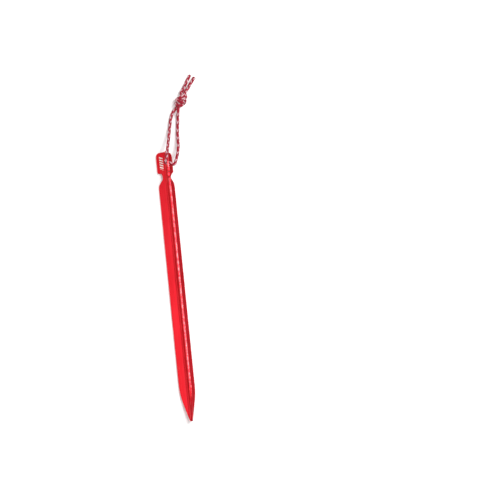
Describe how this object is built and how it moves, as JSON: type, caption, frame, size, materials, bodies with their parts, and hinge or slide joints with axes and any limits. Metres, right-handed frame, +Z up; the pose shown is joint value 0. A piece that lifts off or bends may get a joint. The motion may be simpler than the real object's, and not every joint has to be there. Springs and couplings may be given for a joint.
{
  "type": "tent stake",
  "caption": "Three-arm aluminium tent stake, red anodised, hooked head, with a knotted red reflective pull-cord loop through its ridge; lying on two arms, 190 mm long.",
  "frame": {"origin": "middle of the bar's box on the surface the stake lies on, half way between head end and point", "axes": "+Y along the bar towards the head end, +Z up away from the surface with the ridge arm, X across the two lower arms"},
  "size_m": [0.0334, 0.2447, 0.0122],
  "materials": {
    "anodised_red": "satin_red_anodised_hard_alloy",
    "red_braid": "braided_polyester_cord_with_pale_reflective_flecks"
  },
  "bodies": {
    "stake": {"y_beam": "anodised_red"},
    "pull_loop": {"cord_left_strand": "red_braid", "cord_right_strand": "red_braid", "cord_knot": "red_braid", "cord_tail_left": "red_braid", "cord_tail_right": "red_braid"}
  },
  "joints": [
    {"name": "loop_swing", "type": "hinge", "parent": "stake", "child": "pull_loop", "pos_m": [0, 0.0865, 0.00768], "axis": [1, 0, 0], "range_deg": [0, 95]}
  ]
}
